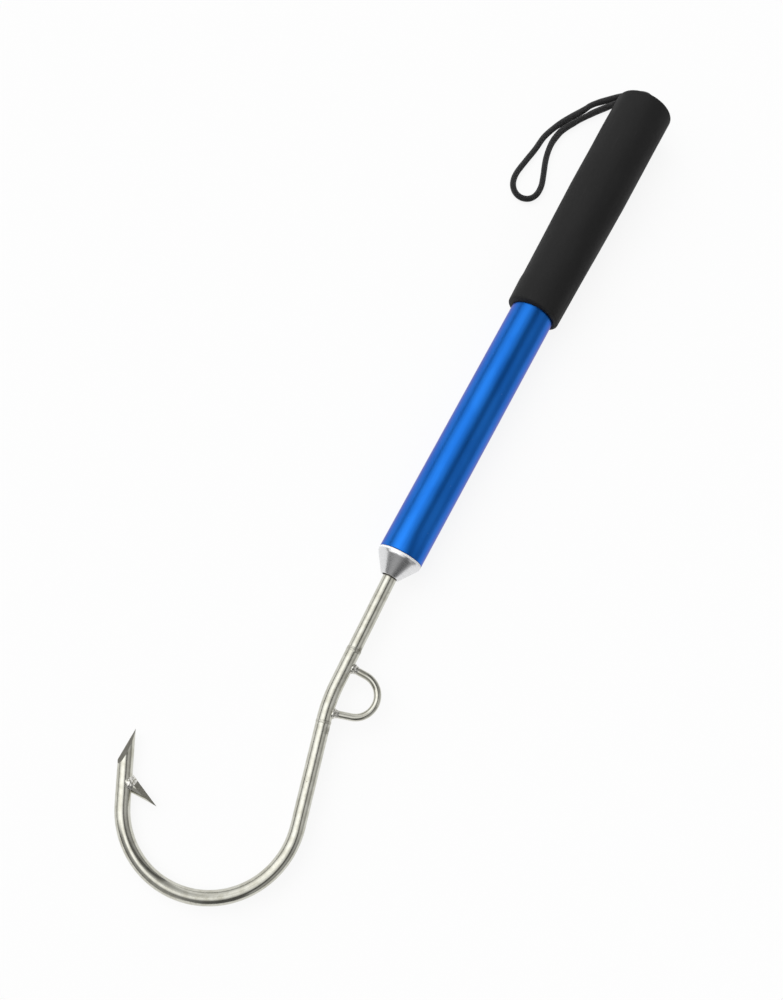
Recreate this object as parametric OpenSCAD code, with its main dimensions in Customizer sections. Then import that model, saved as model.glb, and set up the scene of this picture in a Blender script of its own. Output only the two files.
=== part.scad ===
// Fishing gaff: foam grip, anodised handle tube, turned nose cone and a welded barbed hook.
// The shaft lies along +X with the butt face at x = 0. The hook lies in the XY plane, point towards -Y.

/* [Grip] */
// Length of the foam grip
grip_len = 148.2; // [110:0.2:200]
// Foam thickness over the straight rear stretch
grip_wall = 4.5; // [4:0.1:6]
// Foam thickness at the mouth, where the tube comes out
mouth_wall = 2.9; // [2:0.1:3.6]
// Length of the straight rear stretch
grip_straight = 65; // [40:1:90]
// Foam thickness of the closed butt end
grip_end_wall = 5; // [3:0.5:8]
// Rounding of the butt edge
butt_round = 1.5; // [1:0.5:6]
// Length over which the mouth rounds down to the tube
lip_len = 1.6; // [1:0.2:8]

/* [Handle tube] */
// Outer diameter of the tube
tube_d = 25; // [22:0.5:28]
// Wall of the tube
tube_wall = 1.5; // [1:0.1:2]
// Bare tube in front of the grip
tube_reach = 158; // [80:0.2:300]

/* [Butt plug] */
// Thickness of the flange that stops the plug against the tube's rear end
flange_t = 2; // [1:0.5:4]
// Length of the plug inside the tube
plug_len = 22; // [18:1:40]
// Thickness of the wall that the knot pulls against, with the flange
knot_seat_t = 10; // [6:1:14]
// Diameter of the stopper knot
knot_d = 12.6; // [11:0.2:15]
// Length of the stopper knot
knot_len = 11; // [8:0.5:13]
// Wall of the plug around the knot
pocket_wall = 3.2; // [1.5:0.1:3.4]

/* [Wrist cord] */
// Diameter of the braided cord
cord_d = 3.4; // [2:0.1:3.5]

/* [Nose cone] */
// Length of the cylindrical rim against the tube
rim_len = 2.1; // [1.5:0.1:6]
// Length of the cone in front of the rim
cone_len = 10.6; // [8:0.1:20]
// Diameter of the cone's front face
nose_d = 10.3; // [9.8:0.1:14]
// Length of the spigot inside the tube
spigot_len = 19; // [16:0.5:30]
// Depth of the shank's seat behind the tube's front end
seat_depth = 6.2; // [2:0.1:8]
// Width of each glue groove in the spigot
glue_w = 3; // [1:0.5:4]
// Depth of each glue groove
glue_depth = 0.5; // [0.2:0.1:0.8]

/* [Shank] */
// Diameter of the rod between the nose cone and the first weld
shank_d = 7.7; // [6.4:0.1:7.8]
// Diameter of the threaded tail behind the shoulder
thread_d = 6; // [4:0.5:6]
// Straight rod from the lean to the first weld
shank_run = 51.5; // [30:0.5:90]
// Lean of the rod towards +Y
shank_lean_angle = 2.15; // [0.5:0.05:2.5]
// Diameter of the washer behind the spigot
washer_d = 14; // [12:0.5:18]
// Thickness of the washer
washer_t = 1.6; // [1:0.1:2.5]
// Width across the flats of the lock nut
nut_af = 10; // [9.4:0.1:12]
// Height of the lock nut's hexagon
nut_h = 6; // [4:0.5:8]
// Height of the collar that holds the nut's nylon ring
collar_h = 2; // [1.6:0.1:3]

/* [Hook wire] */
// Diameter of the hook wire
wire_d = 8; // [7.8:0.1:9]
// Straight wire from the first weld to the neck's bend
neck_lead = 19; // [17:0.5:25]
// Centreline radius of the neck's bend
neck_bend_r = 85; // [70:1:110]
// Turn of the neck's bend
neck_bend_angle = 12.85; // [11:0.05:14]
// Straight wire from the second weld to the hook's bend
hook_lead = 53.5; // [40:0.5:80]
// Centreline radius of the hook's bend
hook_r = 44.8; // [36:0.1:60]
// Turn of the hook's bend
hook_bend_angle = 168.4; // [150:0.2:175]
// Length of the straight point, from the bend to the tip
point_len = 37.6; // [30:0.2:50]
// Angle of the ground point's ridge to the wire
point_ridge_angle = 27; // [20:0.1:40]
// Slope of the two ground faces beside each ridge
roof_angle = 34.5; // [10:0.5:45]
// Length of the first weld
shank_weld_len = 2.4; // [1:0.1:4]
// Length of the second weld
neck_weld_len = 1.6; // [1:0.1:4]
// Crown of both welds over the hook wire
weld_crown = 0.12; // [0.05:0.01:0.4]

/* [Barb] */
// Diameter of the barb's wire
barb_d = 7.8; // [6:0.1:7.9]
// Distance from the end of the bend to the barb, along the point
barb_place = 11.8; // [9:0.1:14]
// Angle from the point's direction back to the barb's direction
barb_lean_angle = 116.1; // [100:0.1:125]
// Length of the barb from the wire's centreline to its tip
barb_len = 20.8; // [16:0.1:26]
// Angle of the barb's ridge to its own wire
barb_ridge_angle = 24.2; // [20:0.1:35]
// Radius of the weld bead at the barb's root
barb_bead_r = 4.7; // [4.4:0.1:5.8]

/* [Line ring] */
// Diameter of the ring's wire
ring_wire_d = 4; // [3:0.1:5]
// Centreline radius of the ring's bow
ring_r = 11.5; // [10:0.1:13]
// Distance from the first weld to the ring's front leg
ring_place = 7.5; // [6.5:0.1:9]
// Length of the front leg, from the wire's centreline to the bow
ring_leg = 11.7; // [10:0.1:16]
// Turn of the bow between the two legs
ring_bow_angle = 163; // [158:0.5:170]
// Radius of the weld bead at each foot
ring_bead_r = 2.9; // [2.6:0.1:3.4]

/* [Hidden] */
$fn = 96;
// Finer steps round a bend's arc and round its wire
bend_fn = 240;
wire_fn = 48;

// Clearances and small fits
foam_fit = 0.1;
lip_gap = 0.2;
lip_step = 15;
plug_fit = 0.05;
thread_fit = 0.05;
bolt_fit = 0.2;
strand_gap = 0.4;
hole_fit = 0.6;
nose_gap = 0.08;
rim_chamfer = 0.3;
knot_round = 2.4;
weld_gap = 0.1;
bead_fit = 0.03;
bead_edge = 0.4;
collar_wall = 0.9;
collar_lip = 0.4;
// Each straight run laps over the end of its bend and is this much thicker
lap = 0.05;
lap_step = 0.01;
// How far a cut runs past a face, and the block that grinds a ridge's side
over = 1;
cut_size = 80;

// Tube
tube_r = tube_d / 2;
tube_bore_r = tube_r - tube_wall;
tube_x0 = grip_end_wall + flange_t;
tube_x1 = grip_len + tube_reach;

// Grip
grip_r = tube_r + grip_wall;
mouth_r = tube_r + mouth_wall;
grip_bore_r = tube_r + foam_fit;
lip_r = tube_r + lip_gap;

// Cord, knot and plug
cord_r = cord_d / 2;
cord_sides = 8;
strand_y = cord_r + strand_gap / 2;
cord_hole_r = strand_y + cord_r + hole_fit;
knot_x = grip_end_wall + knot_seat_t;
plug_r = tube_bore_r - plug_fit;
pocket_r = plug_r - pocket_wall;

// Nose cone and shank, along the shaft
rim_x1 = tube_x1 + rim_len;
nose_x = rim_x1 + cone_len;
seat_x = tube_x1 - seat_depth;
spigot_x0 = tube_x1 - spigot_len;
spigot_r = tube_bore_r - plug_fit;
groove_r = spigot_r - glue_depth;
groove_pitch = (spigot_len - 2 * glue_w) / 3 + glue_w;
shank_r = shank_d / 2;
thread_r = thread_d / 2;
tail_hole_r = thread_r + bolt_fit;

// Straight rod in the seat, and the bend that leans it
shank_lead = 6;
shank_bend_r = 100;
tail_len = spigot_len - seat_depth + washer_t + nut_h + collar_h + thread_d / 2;
washer_x0 = spigot_x0 - washer_t;
nut_x0 = washer_x0 - nut_h;
collar_x0 = nut_x0 - collar_h;
nut_bore_r = thread_r + thread_fit;
insert_r = nut_af / 2 - collar_wall;
insert_t = collar_h - collar_lip;

// Hook wire, with the short straight end of the neck behind its bend
wire_r = wire_d / 2;
neck_tail = 0.4;

// A place on the wire is [x, y, heading]
function along(s, len) = [s[0] + len * cos(s[2]), s[1] + len * sin(s[2]), s[2]];
function bend_end(s, r, turn) = let (k = sign(turn)) [
    s[0] + k * r * (sin(s[2] + turn) - sin(s[2])),
    s[1] - k * r * (cos(s[2] + turn) - cos(s[2])),
    s[2] + turn
];
function bend_centre(s, r) = [s[0] - r * sin(s[2]), s[1] + r * cos(s[2])];

// Distance from place s, along its heading, to the far side of a circle
function reach_circle(s, c, r) = let (
    ux = cos(s[2]),
    uy = sin(s[2]),
    dx = s[0] - c[0],
    dy = s[1] - c[1],
    b = dx * ux + dy * uy
) -b + sqrt(b * b - dx * dx - dy * dy + r * r);

shank_start = [seat_x, 0, 0];
shank_bend_start = along(shank_start, shank_lead);
shank_bend_stop = bend_end(shank_bend_start, shank_bend_r, shank_lean_angle);
shank_stop = along(shank_bend_stop, shank_run);
neck_start = along(shank_stop, shank_weld_len);
neck_bend_start = along(neck_start, neck_lead);
neck_bend_stop = bend_end(neck_bend_start, neck_bend_r, neck_bend_angle);
neck_stop = along(neck_bend_stop, neck_tail);
hook_start = along(neck_stop, neck_weld_len);
hook_bend_start = along(hook_start, hook_lead);
point_start = bend_end(hook_bend_start, hook_r, -hook_bend_angle);
barb_root = along(point_start, barb_place);
barb_start = [barb_root[0], barb_root[1], barb_root[2] - barb_lean_angle];

// Height of the leaning rod's centreline at the cone's front face
nose_rise = shank_bend_stop[1] + (nose_x - shank_bend_stop[0]) * tan(shank_lean_angle);
nose_hole_r = shank_r + nose_rise + nose_gap;

// Line ring: front leg, bow and rear leg
ring_foot = along(neck_start, ring_place);
ring_start = [ring_foot[0], ring_foot[1], 90];
bow_start = along(ring_start, ring_leg);
bow_stop = bend_end(bow_start, ring_r, -ring_bow_angle);
neck_centre = bend_centre(neck_bend_start, neck_bend_r);
rear_leg = reach_circle(bow_stop, neck_centre, neck_bend_r - wire_r);
rear_foot = along(bow_stop, rear_leg);
ring_rear_foot = [rear_foot[0], rear_foot[1], rear_foot[2] + 180];
ring_front_foot = along(ring_start, wire_r);

// Straight wire past the neck's bend that the ring's rear foot may reach
wire_run = 12;

// How far each weld bead reaches down beside the wire and up the leg
ring_sink = 1.6;
ring_bead_h = 1.5;
barb_sink = 2.4;
barb_bead_h = 1.8;
// How far the barb's bead stands out of its ground faces
bead_skin = 0.6;

// Route of the wrist cord: out of the butt, down to the surface, round the loop and back.
// The gaff rests on its grip, on the cone's rim and on the low side of the hook's bend, so the surface
// slopes a little in this frame: it rises towards +X and towards -Y.
route = [
    [knot_x, strand_y, 0], [0, strand_y, 0], [-6, 1.4, -0.6], [-11, -1.6, -3.6],
    [-12.9, -6.4, -8.1], [-11.9, -11.8, -12.5], [-8.9, -16.6, -14.8], [-5.4, -20.2, -15.2],
    [2.2, -26.7, -14.5], [6.3, -29.5, -14.2], [11.5, -31.8, -13.9], [20.4, -36.7, -13.4],
    [29.6, -41, -12.9], [39.6, -44.2, -12.5], [49.7, -45.2, -12.3], [60.3, -46.8, -12],
    [69.9, -47.9, -11.7], [76.4, -46.6, -11.7], [80.4, -43.1, -11.9], [81.5, -38.4, -12.2],
    [79.3, -33.9, -12.6], [74.6, -31.5, -12.8], [68.3, -31.6, -12.9], [61.3, -33.7, -12.9],
    [51.4, -37, -12.9], [41.4, -38.5, -12.9], [32.7, -37.6, -13.2], [27.1, -35.7, -13.4],
    [22.4, -33.4, -13.7], [17.5, -30.7, -13.9], [13, -28, -14.2], [8.4, -25.3, -14.5],
    [1.1, -20.2, -15], [-3.1, -17.2, -14.9], [-6.9, -13.5, -12.7], [-8.9, -9.4, -8.7],
    [-8.6, -5.4, -4.3], [-5, -2.6, -0.9], [0, -strand_y, 0], [knot_x, -strand_y, 0]
];

// Places a piece at [x, y, heading] in the hook's plane
module at(s) {
    translate([s[0], s[1], 0]) rotate([0, 0, s[2]]) children();
}

// Round rod along +X
module rod(r, len) {
    rotate([0, 90, 0]) cylinder(r = r, h = len);
}

// Round rod with a hole, from x0 to x1 on the shaft's axis
module ring_between(x0, x1, r, hole_r) {
    translate([x0, 0, 0]) difference() {
        rod(r, x1 - x0);
        translate([-over, 0, 0]) rod(hole_r, x1 - x0 + 2 * over);
    }
}

// Body turned about the shaft, from points [x, r]
module turned(profile) {
    rotate([0, 90, 0]) rotate_extrude() polygon([for (p = profile) [p[1], p[0]]]);
}

// Straight lead along +X, a bend to the left or right, and a straight tail
module bent(r, bend_r, turn, lead, tail) {
    sweep = abs(turn);
    run_r = r + lap_step / 2;
    mirror([0, turn < 0 ? 1 : 0, 0]) translate([lead, bend_r, 0]) rotate([0, 0, -90]) {
        rotate_extrude(angle = sweep, $fn = bend_fn) translate([bend_r, 0]) circle(r = r, $fn = wire_fn);
        translate([bend_r, lap, 0]) rotate([90, 0, 0]) cylinder(r = run_r, h = lead + lap);
        rotate([0, 0, sweep]) translate([bend_r, -lap, 0]) rotate([-90, 0, 0])
            cylinder(r = run_r, h = tail + lap);
    }
}

// What grinding takes off the +Y side of a rod along +X: two faces that meet in a straight ridge and
// leave the tip at x = len
module ridge_cut(len, r, angle) {
    for (side = [-1, 1])
        translate([len, -r, 0]) rotate([0, 0, -angle]) rotate([side * roof_angle, 0, 0])
            translate([-cut_size / 2, 0, -cut_size / 2]) cube(cut_size);
}

// Crowned disc of weld metal between two rod ends
module butt_weld(len, r0, r1) {
    crown_r = wire_r + weld_crown;
    turned([[0, 0], [0, r0], [len / 4, crown_r], [len * 3 / 4, crown_r], [len, r1], [len, 0]]);
}

module neck_wire(extra, tail) {
    at(neck_start) bent(wire_r + extra, neck_bend_r, neck_bend_angle, neck_lead, tail);
}

module hook_wire(extra) {
    at(hook_start) bent(wire_r + extra, hook_r, -hook_bend_angle, hook_lead, point_len + wire_d);
}

module ring_wire(extra) {
    at(ring_start) bent(ring_wire_d / 2 + extra, ring_r, -ring_bow_angle, ring_leg, rear_leg + wire_r / 2);
}

module foam_grip() {
    lip = [for (a = [0:lip_step:90]) [
        grip_len - lip_len + lip_len * sin(a),
        lip_r + (mouth_r - lip_r) * cos(a)
    ]];
    color([0.12, 0.12, 0.12]) difference() {
        union() {
            turned(concat(
                [[butt_round, 0], [butt_round, grip_r], [grip_straight, grip_r]],
                lip,
                [[grip_len, 0]]
            ));
            rotate([0, 90, 0]) rotate_extrude() union() {
                square([grip_r - butt_round, butt_round + over]);
                translate([grip_r - butt_round, butt_round]) intersection() {
                    circle(r = butt_round);
                    translate([0, -butt_round]) square([butt_round, butt_round + over]);
                }
            }
        }
        translate([grip_end_wall, 0, 0]) rod(grip_bore_r, grip_len);
        translate([-over, 0, 0]) rod(cord_hole_r, grip_end_wall + 2 * over);
    }
}

module butt_plug() {
    color([0.2, 0.2, 0.22]) difference() {
        union() {
            translate([grip_end_wall, 0, 0]) rod(tube_r, flange_t);
            translate([tube_x0, 0, 0]) rod(plug_r, plug_len);
        }
        translate([grip_end_wall - over, 0, 0]) rod(cord_hole_r, knot_seat_t + 2 * over);
        translate([knot_x, 0, 0]) rod(pocket_r, plug_len + flange_t);
    }
}

// Direction of the route at point i
function route_dir(i) = let (
    a = route[max(i - 1, 0)],
    b = route[min(i + 1, len(route) - 1)]
) (b - a) / norm(b - a);

// Eight corners around point i, with a flat side down
function cord_ring(i) = let (
    t = route_dir(i),
    side = cross(t, [0, 0, 1]) / norm(cross(t, [0, 0, 1])),
    up = cross(side, t),
    corner_r = cord_r / cos(180 / cord_sides)
) [for (k = [0:cord_sides - 1]) let (a = (k + 0.5) * 360 / cord_sides)
    route[i] + corner_r * (cos(a) * side + sin(a) * up)];

module wrist_cord() {
    rings = len(route);
    points = [for (i = [0:rings - 1]) each cord_ring(i)];
    first_cap = [[for (k = [0:cord_sides - 1]) k]];
    last_cap = [[for (k = [0:cord_sides - 1]) rings * cord_sides - 1 - k]];
    walls = [for (i = [0:rings - 2]) for (k = [0:cord_sides - 1]) let (
        a = i * cord_sides + k,
        b = i * cord_sides + (k + 1) % cord_sides
    ) each [[a, a + cord_sides, b], [b, a + cord_sides, b + cord_sides]]];
    color([0.08, 0.08, 0.08]) polyhedron(points, concat(first_cap, walls, last_cap));
}

module cord_knot() {
    r = knot_d / 2;
    color([0.1, 0.1, 0.1]) translate([knot_x, 0, 0]) rotate([0, 90, 0]) rotate_extrude() union() {
        square([r - knot_round, knot_len]);
        translate([0, knot_round]) square([r, knot_len - 2 * knot_round]);
        for (z = [knot_round, knot_len - knot_round]) translate([r - knot_round, z]) circle(r = knot_round);
    }
}

module handle_tube() {
    color([0.1, 0.33, 0.78]) ring_between(tube_x0, tube_x1, tube_r, tube_bore_r);
}

// Rear end of glue groove k
function groove_x(k) = spigot_x0 + (spigot_len - 2 * glue_w) / 3 + k * groove_pitch;

module nose_cone() {
    color([0.85, 0.85, 0.86]) difference() {
        turned([
            [spigot_x0, 0], [spigot_x0, spigot_r - rim_chamfer], [spigot_x0 + rim_chamfer, spigot_r],
            [tube_x1, spigot_r], [tube_x1, tube_r - rim_chamfer], [tube_x1 + rim_chamfer, tube_r],
            [rim_x1 - rim_chamfer, tube_r], [rim_x1, tube_r - rim_chamfer],
            [nose_x - rim_chamfer, nose_d / 2 + rim_chamfer], [nose_x, nose_d / 2], [nose_x, 0]
        ]);
        translate([spigot_x0 - over, 0, 0]) rod(tail_hole_r, spigot_len);
        translate([seat_x, 0, 0]) rod(nose_hole_r, nose_x - seat_x + over);
        for (k = [0, 1]) ring_between(groove_x(k), groove_x(k) + glue_w, tube_r, groove_r);
    }
}

module nose_adhesive() {
    color([0.85, 0.78, 0.55])
        for (k = [0, 1]) ring_between(groove_x(k), groove_x(k) + glue_w, tube_bore_r, groove_r);
}

module shank_rod() {
    color([0.68, 0.67, 0.63]) union() {
        at(shank_start) bent(shank_r, shank_bend_r, shank_lean_angle, shank_lead, shank_run);
        translate([seat_x - tail_len, 0, 0]) rod(thread_r, tail_len + over);
    }
}

module shank_washer() {
    color([0.75, 0.75, 0.76]) ring_between(washer_x0, spigot_x0, washer_d / 2, tail_hole_r);
}

module lock_nut() {
    color([0.75, 0.75, 0.76]) difference() {
        union() {
            translate([nut_x0, 0, 0]) rotate([0, 90, 0])
                cylinder(d = nut_af / cos(30), h = nut_h, $fn = 6);
            translate([collar_x0, 0, 0]) rod(nut_af / 2, collar_h);
        }
        translate([collar_x0 - over, 0, 0]) rod(nut_bore_r, nut_h + collar_h + 2 * over);
        translate([collar_x0 - over, 0, 0]) rod(insert_r, insert_t + over);
    }
}

module nut_insert() {
    color([0.2, 0.35, 0.75]) ring_between(collar_x0, collar_x0 + insert_t, insert_r, nut_bore_r);
}

module shank_weld() {
    color([0.45, 0.43, 0.38]) at(shank_stop) butt_weld(shank_weld_len, shank_r, wire_r);
}

module hook_neck() {
    color([0.68, 0.67, 0.63]) neck_wire(0, neck_tail);
}

module neck_weld() {
    color([0.45, 0.43, 0.38]) at(neck_stop) butt_weld(neck_weld_len, wire_r, wire_r);
}

module hook_bend() {
    color([0.68, 0.67, 0.63]) difference() {
        hook_wire(0);
        at(point_start) ridge_cut(point_len, wire_r, point_ridge_angle);
    }
}

// Barb's rod with its ground end, grown by extra
module barb_rod(extra) {
    at(barb_start) difference() {
        rod(barb_d / 2 + extra, barb_len + barb_d);
        ridge_cut(barb_len + extra / sin(barb_ridge_angle), barb_d / 2, barb_ridge_angle);
    }
}

module barb() {
    color([0.68, 0.67, 0.63]) difference() {
        barb_rod(0);
        hook_wire(weld_gap);
    }
}

// Cone of weld metal round a leg that stands on the wire, from sink below the place to height above it
module bead_cone(place, leg_r, bead_r, sink, height) {
    at(place) translate([-sink, 0, 0]) rotate([0, 90, 0])
        cylinder(r1 = bead_r, r2 = leg_r + bead_edge, h = sink + height);
}

module barb_weld() {
    root = along(barb_start, wire_r / sin(barb_lean_angle));
    color([0.8, 0.79, 0.75]) difference() {
        bead_cone(root, barb_d / 2, barb_bead_r, barb_sink, barb_bead_h);
        barb_rod(bead_fit);
        at(barb_start) ridge_cut(barb_len + bead_skin / sin(barb_ridge_angle), barb_d / 2, barb_ridge_angle);
        at(point_start) rod(wire_r + bead_fit, point_len);
    }
}

module line_ring() {
    color([0.68, 0.67, 0.63]) difference() {
        ring_wire(0);
        neck_wire(weld_gap, wire_run);
    }
}

module foot_bead(foot) {
    color([0.8, 0.79, 0.75]) difference() {
        bead_cone(foot, ring_wire_d / 2, ring_bead_r, ring_sink, ring_bead_h);
        at(foot) translate([-ring_sink - over, 0, 0])
            rod(ring_wire_d / 2 + bead_fit, ring_sink + ring_bead_h + 2 * over);
        neck_wire(bead_fit, wire_run);
    }
}

module ring_weld_front() {
    foot_bead(ring_front_foot);
}

module ring_weld_rear() {
    foot_bead(ring_rear_foot);
}

foam_grip();
butt_plug();
wrist_cord();
cord_knot();
handle_tube();
nose_cone();
nose_adhesive();
shank_rod();
shank_washer();
lock_nut();
nut_insert();
shank_weld();
hook_neck();
neck_weld();
hook_bend();
barb();
barb_weld();
line_ring();
ring_weld_front();
ring_weld_rear();
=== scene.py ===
import math

import bmesh
import bpy
from mathutils import Matrix, Vector, noise


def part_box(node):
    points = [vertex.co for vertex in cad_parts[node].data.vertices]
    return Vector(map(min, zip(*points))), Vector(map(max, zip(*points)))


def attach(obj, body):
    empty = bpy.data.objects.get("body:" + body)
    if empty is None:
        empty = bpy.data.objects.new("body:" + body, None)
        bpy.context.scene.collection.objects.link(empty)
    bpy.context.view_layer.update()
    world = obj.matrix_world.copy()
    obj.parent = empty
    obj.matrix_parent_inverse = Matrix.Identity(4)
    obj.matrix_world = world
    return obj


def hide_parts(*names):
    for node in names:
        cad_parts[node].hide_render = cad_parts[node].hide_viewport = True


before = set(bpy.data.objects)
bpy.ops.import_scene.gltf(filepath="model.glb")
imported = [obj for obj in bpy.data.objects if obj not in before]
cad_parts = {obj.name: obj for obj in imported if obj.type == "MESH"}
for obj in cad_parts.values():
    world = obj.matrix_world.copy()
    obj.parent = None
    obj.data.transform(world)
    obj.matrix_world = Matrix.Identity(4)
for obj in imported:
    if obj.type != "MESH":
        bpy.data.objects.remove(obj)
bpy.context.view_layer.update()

# Fishing gaff: foam grip, wrist cord, blue tube, turned cone and welded hook, in metres.
MM = 0.001
BODY = "root"

# Sizes shared with the solids
tube_lo, tube_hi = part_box("handle_tube")
_, grip_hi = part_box("foam_grip")
cone_lo, cone_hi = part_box("nose_cone")
TUBE_R = tube_hi.y
TUBE_WALL = 1.5 * MM
MOUTH_X = grip_hi.x
RIM_X = tube_hi.x + 1 * MM
NOSE_X = cone_hi.x
GRIP_R = grip_hi.y
CORD_R = 1.7 * MM
CORD_HOLE_R = 4.2 * MM
WIRE_R = 4 * MM
SHANK_R = 3.85 * MM
BARB_R = 3.9 * MM
RING_R = 2 * MM

# Height of the surface: the gaff rests on its grip, the cone's rim and the hook's low side
SURFACE_Z = -18.4 * MM
SURFACE_NORMAL = Vector((-0.01863, 0.07285, 0.99717)).normalized()


# Camera at the photograph's viewpoint, with the picture's right and down

CAMERA_AT = (0.4542, 0, 0.7074)
VIEW_RIGHT = Vector((-0.47044, 0.87763, 0.09199))
VIEW_DOWN = Vector((0.84989, 0.47868, -0.22037))


def make_camera():
    data = bpy.data.cameras.new("camera")
    data.sensor_fit = "VERTICAL"
    data.sensor_height = 36
    data.lens = 48.6
    data.clip_start = 0.05
    data.clip_end = 20
    data.shift_x = -0.0006
    right = VIEW_RIGHT.normalized()
    back = right.cross(-VIEW_DOWN).normalized()
    up = back.cross(right)
    camera = bpy.data.objects.new("camera", data)
    axes = Matrix((right, up, back)).transposed().to_4x4()
    camera.matrix_world = Matrix.Translation(CAMERA_AT) @ axes
    bpy.context.scene.collection.objects.link(camera)
    bpy.context.scene.camera = camera


make_camera()

# Points that the cord follows from its knot round the loop and back, in mm
STRAND_Y = 1.9
KNOT_X = 15
CORD_ROUTE = [
    (KNOT_X, STRAND_Y, 0), (0, STRAND_Y, 0), (-6, 1.4, -0.6), (-11, -1.6, -3.6),
    (-12.9, -6.4, -8.1), (-11.9, -11.8, -12.5), (-8.9, -16.6, -14.8), (-5.4, -20.2, -15.2),
    (2.2, -26.7, -14.5), (6.3, -29.5, -14.2), (11.5, -31.8, -13.9), (20.4, -36.7, -13.4),
    (29.6, -41, -12.9), (39.6, -44.2, -12.5), (49.7, -45.2, -12.3), (60.3, -46.8, -12),
    (69.9, -47.9, -11.7), (76.4, -46.6, -11.7), (80.4, -43.1, -11.9), (81.5, -38.4, -12.2),
    (79.3, -33.9, -12.6), (74.6, -31.5, -12.8), (68.3, -31.6, -12.9), (61.3, -33.7, -12.9),
    (51.4, -37, -12.9), (41.4, -38.5, -12.9), (32.7, -37.6, -13.2), (27.1, -35.7, -13.4),
    (22.4, -33.4, -13.7), (17.5, -30.7, -13.9), (13, -28, -14.2), (8.4, -25.3, -14.5),
    (1.1, -20.2, -15), (-3.1, -17.2, -14.9), (-6.9, -13.5, -12.7), (-8.9, -9.4, -8.7),
    (-8.6, -5.4, -4.3), (-5, -2.6, -0.9), (0, -STRAND_Y, 0), (KNOT_X, -STRAND_Y, 0),
]


# Lines, meshes and pieces

def spline(points, steps):
    """Smooth line through the points, with that many steps in each stretch."""
    line = []
    for i in range(len(points) - 1):
        a = points[max(i - 1, 0)]
        b, c = points[i], points[i + 1]
        d = points[min(i + 2, len(points) - 1)]
        for k in range(steps):
            t = k / steps
            line.append(0.5 * (2 * b + (c - a) * t + (2 * a - 5 * b + 4 * c - d) * t ** 2
                               + (3 * b - a - 3 * c + d) * t ** 3))
    line.append(points[-1])
    return line


def arc_lengths(line):
    """Distance along the line at each of its points."""
    total = [0.0]
    for a, b in zip(line, line[1:]):
        total.append(total[-1] + (b - a).length)
    return total


def resample(line, step):
    """The same line with points an even step apart."""
    total = arc_lengths(line)
    count = max(2, round(total[-1] / step))
    result = []
    i = 0
    for k in range(count + 1):
        goal = total[-1] * k / count
        while i < len(line) - 2 and total[i + 1] < goal:
            i += 1
        share = (goal - total[i]) / max(total[i + 1] - total[i], 1e-12)
        result.append(line[i].lerp(line[i + 1], share))
    return result


def smooth(value, low, high):
    """0 up to low and 1 from high on, with a soft rise between."""
    t = min(max((value - low) / (high - low), 0), 1)
    return t * t * (3 - 2 * t)


def frames(line):
    """Tangent, side and up at each point, carried along without a twist."""
    result = []
    up = Vector((0, 0, 1))
    for i in range(len(line)):
        tangent = (line[min(i + 1, len(line) - 1)] - line[max(i - 1, 0)]).normalized()
        side = tangent.cross(up)
        if side.length < 1e-6:
            side = tangent.orthogonal()
        side.normalize()
        up = side.cross(tangent).normalized()
        result.append((tangent, side, up))
    return result


def finish_piece(obj, node):
    """Rides on the gaff, and stands for the node named."""
    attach(obj, BODY)
    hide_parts(node)


def mesh_piece(name, bm, material, sharp=35):
    """Object with one material and smooth shading up to the sharp angle, in degrees."""
    bmesh.ops.recalc_face_normals(bm, faces=bm.faces)
    mesh = bpy.data.meshes.new(name)
    bm.to_mesh(mesh)
    bm.free()
    for face in mesh.polygons:
        face.use_smooth = True
    mesh.set_sharp_from_angle(angle=math.radians(sharp))
    mesh.materials.append(material)
    obj = bpy.data.objects.new(name, mesh)
    bpy.context.scene.collection.objects.link(obj)
    return obj


def tube_mesh(line, sides, radius_at):
    """Round tube along a line. radius_at(distance, angle) is its radius; uv is metres along and around."""
    bm = bmesh.new()
    uv = bm.loops.layers.uv.new("uv")
    total = arc_lengths(line)
    rings = []
    for point, (tangent, side, up), s in zip(line, frames(line), total):
        ring = []
        for k in range(sides):
            angle = 2 * math.pi * k / sides
            r = radius_at(s, angle)
            ring.append(bm.verts.new(point + r * (math.cos(angle) * side + math.sin(angle) * up)))
        rings.append(ring)
    for i in range(len(rings) - 1):
        for k in range(sides):
            n = (k + 1) % sides
            face = bm.faces.new((rings[i][k], rings[i][n], rings[i + 1][n], rings[i + 1][k]))
            size = radius_at(total[i], 0) * 2 * math.pi
            places = ((total[i], k), (total[i], k + 1), (total[i + 1], k + 1), (total[i + 1], k))
            for loop, (s, j) in zip(face.loops, places):
                loop[uv].uv = (s, j / sides * size)
    bm.faces.new(rings[0])
    bm.faces.new(list(reversed(rings[-1])))
    return bm


def even(radius):
    """The same radius all along a tube."""
    return lambda s, angle: radius


# Materials

def put(tree, socket, value):
    """Links the socket to another one, or gives it a constant."""
    if isinstance(value, bpy.types.NodeSocket):
        tree.links.new(value, socket)
    elif value is not None:
        socket.default_value = value


def math_node(tree, operation, *values, clamp=False):
    node = tree.nodes.new("ShaderNodeMath")
    node.operation = operation
    node.use_clamp = clamp
    for socket, value in zip(node.inputs, values):
        put(tree, socket, value)
    return node.outputs[0]


def mix_shader(tree, share, *shaders):
    node = tree.nodes.new("ShaderNodeMixShader")
    for socket, value in zip(node.inputs, (share, *shaders)):
        put(tree, socket, value)
    return node.outputs[0]


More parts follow.
